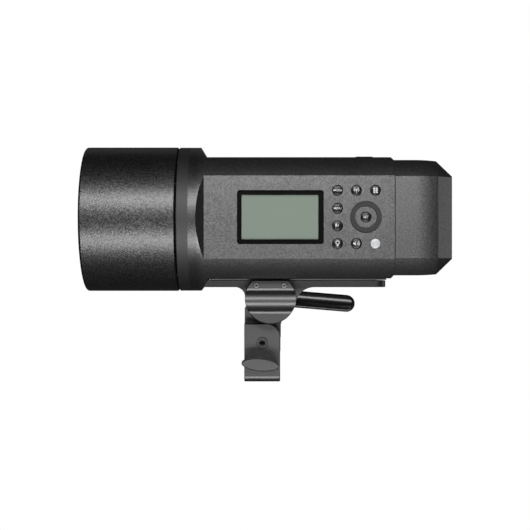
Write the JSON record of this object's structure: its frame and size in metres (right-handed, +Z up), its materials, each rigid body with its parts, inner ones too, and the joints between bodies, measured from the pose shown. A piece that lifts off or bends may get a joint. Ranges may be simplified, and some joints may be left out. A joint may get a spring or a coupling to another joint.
{
  "type": "monolight strobe",
  "caption": "Cordless studio flash head: round protective cap, flatted body with screen and keys, clip-on battery, tilting stand bracket with umbrella holder.",
  "frame": {"origin": "centre of the stand socket's mouth, at the bottom of the tilt arm", "axes": "+Z up, light leaves along -X, control panel faces -Y, battery at +X"},
  "size_m": [0.3142, 0.1267, 0.2036],
  "materials": {
    "casing_plastic": "fine grained black, lit grey on the panel",
    "battery_plastic": "fine grained black",
    "cap_paint": "black powder coat, satin",
    "band_metal": "smooth dark grey satin",
    "bayonet_steel": "plain steel",
    "rail_metal": "smooth mid grey paint on cast alloy",
    "knob_metal": "smooth grey paint",
    "lever_gloss": "glossy black moulding",
    "dark_steel": "blackened steel",
    "brass": "plain brass",
    "friction_fibre": "pressed fibre",
    "reflector_white": "white enamel",
    "ceramic": "white ceramic",
    "tube_glass": "clear quartz",
    "lamp_yellow": "phosphor yellow resin",
    "dome_glass": "frosted glass",
    "bezel_gloss": "gloss black",
    "lcd_glass": "clear cover, faint green",
    "lcd_panel": "grey green display",
    "circuit_board": "green solder mask",
    "capacitor_sleeve": "dark blue-black sleeve",
    "inner_plastic": "black moulding",
    "key_plastic": "black keys with white marks",
    "test_key": "translucent white, back lit",
    "dial_rubber": "knurled black",
    "door_rubber": "black rubber",
    "faceplate": "black label plate without text",
    "cell_wrap": "shrink wrapped cells",
    "led_green": "green light pipes"
  },
  "bodies": {
    "stand_adapter": {"tilt_arm": "rail_metal", "accessory_insert": "dark_steel"},
    "knob": {"stand_knob": "knob_metal", "knob_stud": "dark_steel"},
    "shoe": {"clamp_shoe": "brass"},
    "head": {"panel_side_casing": "casing_plastic", "far_side_casing": "casing_plastic", "casing_screws": "dark_steel", "mount_ring": "band_metal", "bayonet_plate": "bayonet_steel", "bayonet_screws": "dark_steel", "reflector_pan": "reflector_white", "tube_socket": "ceramic", "flash_tube": "tube_glass", "modelling_lamp": "lamp_yellow", "glass_dome": "dome_glass", "mounting_rail": "rail_metal", "rail_screws": "dark_steel", "umbrella_cheek": "rail_metal", "cheek_screws": "dark_steel", "pivot_bolt": "dark_steel", "friction_discs": "friction_fibre", "lcd_bezel": "bezel_gloss", "lcd_window": "lcd_glass", "lcd_display": "lcd_panel", "control_board": "circuit_board", "capacitor_bank": "capacitor_sleeve", "power_board": "circuit_board", "rear_bulkhead": "inner_plastic", "battery_contacts": "bayonet_steel", "fan_frame": "inner_plastic", "vent_grille": "casing_plastic", "port_block": "inner_plastic"},
    "nut": {"clamp_nut": "lever_gloss", "lever_screw": "dark_steel"},
    "lever": {"lock_lever": "lever_gloss"},
    "cap": {"protective_cap": "cap_paint", "cap_sleeve": "band_metal"},
    "battery": {"battery_case": "battery_plastic", "battery_faceplate": "faceplate", "battery_cells": "cell_wrap", "battery_terminals": "bayonet_steel", "charge_leds": "led_green"},
    "check_button": {"battery_check_button": "key_plastic"},
    "battery_release": {"battery_release_button": "key_plastic"},
    "mount_release": {"mount_release_slider": "band_metal"},
    "switch": {"power_switch": "key_plastic"},
    "door": {"port_door": "door_rubber"},
    "fan": {"fan_rotor": "inner_plastic"},
    "dial": {"select_dial": "dial_rubber"},
    "set_key": {"set_button": "key_plastic"},
    "mode_key": {"mode_button": "key_plastic"},
    "wireless_key": {"wireless_button": "key_plastic"},
    "group_key": {"group_button": "key_plastic"},
    "menu_key": {"menu_button": "key_plastic"},
    "function_key": {"function_button": "key_plastic"},
    "lamp_key": {"lamp_button": "key_plastic"},
    "sound_key": {"sound_button": "key_plastic"},
    "test_key": {"test_button": "test_key"}
  },
  "joints": [
    {"name": "head_tilt", "type": "hinge", "parent": "stand_adapter", "child": "head", "pos_m": [0.007, 0, 0.0724], "axis": [0, 1, 0], "range_deg": [-60, 85]},
    {"name": "knob_turn", "type": "hinge", "parent": "stand_adapter", "child": "knob", "pos_m": [-0.0015, -0.02, 0.0161], "axis": [0, 1, 0], "range_deg": [0, 360]},
    {"name": "shoe_press", "type": "slide", "parent": "stand_adapter", "child": "shoe", "axis": [0, 1, 0], "range_m": [0, 0.0013]},
    {"name": "lever_turn", "type": "hinge", "parent": "head", "child": "nut", "pos_m": [0.007, 0.01, 0.0724], "axis": [0, 1, 0], "range_deg": [0, 90]},
    {"name": "lever_lift", "type": "slide", "parent": "nut", "child": "lever", "axis": [0, 1, 0], "range_m": [0, 0.0042], "stiffness_N_per_m": 900},
    {"name": "cap_pull", "type": "slide", "parent": "head", "child": "cap", "axis": [-1, 0, 0], "range_m": [0, 0.08]},
    {"name": "battery_pull", "type": "slide", "parent": "head", "child": "battery", "axis": [1, 0, 0], "range_m": [0, 0.06]},
    {"name": "check_press", "type": "slide", "parent": "battery", "child": "check_button", "axis": [-1, 0, 0], "range_m": [0, 0.0008], "stiffness_N_per_m": 700},
    {"name": "battery_release_press", "type": "slide", "parent": "head", "child": "battery_release", "axis": [0, 0, -1], "range_m": [0, 0.0015], "stiffness_N_per_m": 900},
    {"name": "mount_release_slide", "type": "slide", "parent": "head", "child": "mount_release", "axis": [0, 0, 1], "range_m": [0, 0.0054], "stiffness_N_per_m": 300},
    {"name": "switch_rock", "type": "hinge", "parent": "head", "child": "switch", "pos_m": [0.091, 0.047, 0.155], "axis": [0, 0, 1], "range_deg": [0, 10]},
    {"name": "door_swing", "type": "hinge", "parent": "head", "child": "door", "pos_m": [0.079, 0.0512, 0.1192], "axis": [-1, 0, 0], "range_deg": [0, 110]},
    {"name": "fan_spin", "type": "hinge", "parent": "head", "child": "fan", "pos_m": [0.006, 0.042, 0.141], "axis": [0, 1, 0], "continuous": true},
    {"name": "dial_turn", "type": "hinge", "parent": "head", "child": "dial", "pos_m": [0.0866, -0.052, 0.141], "axis": [0, 1, 0], "continuous": true},
    {"name": "set_press", "type": "slide", "parent": "head", "child": "set_key", "axis": [0, 1, 0], "range_m": [0, 0.0008], "stiffness_N_per_m": 700},
    {"name": "mode_press", "type": "slide", "parent": "head", "child": "mode_key", "axis": [0, 1, 0], "range_m": [0, 0.0008], "stiffness_N_per_m": 700},
    {"name": "wireless_press", "type": "slide", "parent": "head", "child": "wireless_key", "axis": [0, 1, 0], "range_m": [0, 0.0008], "stiffness_N_per_m": 700},
    {"name": "group_press", "type": "slide", "parent": "head", "child": "group_key", "axis": [0, 1, 0], "range_m": [0, 0.0008], "stiffness_N_per_m": 700},
    {"name": "menu_press", "type": "slide", "parent": "head", "child": "menu_key", "axis": [0, 1, 0], "range_m": [0, 0.0008], "stiffness_N_per_m": 700},
    {"name": "function_press", "type": "slide", "parent": "head", "child": "function_key", "axis": [0, 1, 0], "range_m": [0, 0.0008], "stiffness_N_per_m": 700},
    {"name": "lamp_press", "type": "slide", "parent": "head", "child": "lamp_key", "axis": [0, 1, 0], "range_m": [0, 0.0008], "stiffness_N_per_m": 700},
    {"name": "sound_press", "type": "slide", "parent": "head", "child": "sound_key", "axis": [0, 1, 0], "range_m": [0, 0.0008], "stiffness_N_per_m": 700},
    {"name": "test_press", "type": "slide", "parent": "head", "child": "test_key", "axis": [0, 1, 0], "range_m": [0, 0.0008], "stiffness_N_per_m": 700}
  ],
  "couplings": [
    {"joint": "shoe_press", "follows": "knob_turn", "m_per_rad": 0.000198}
  ]
}
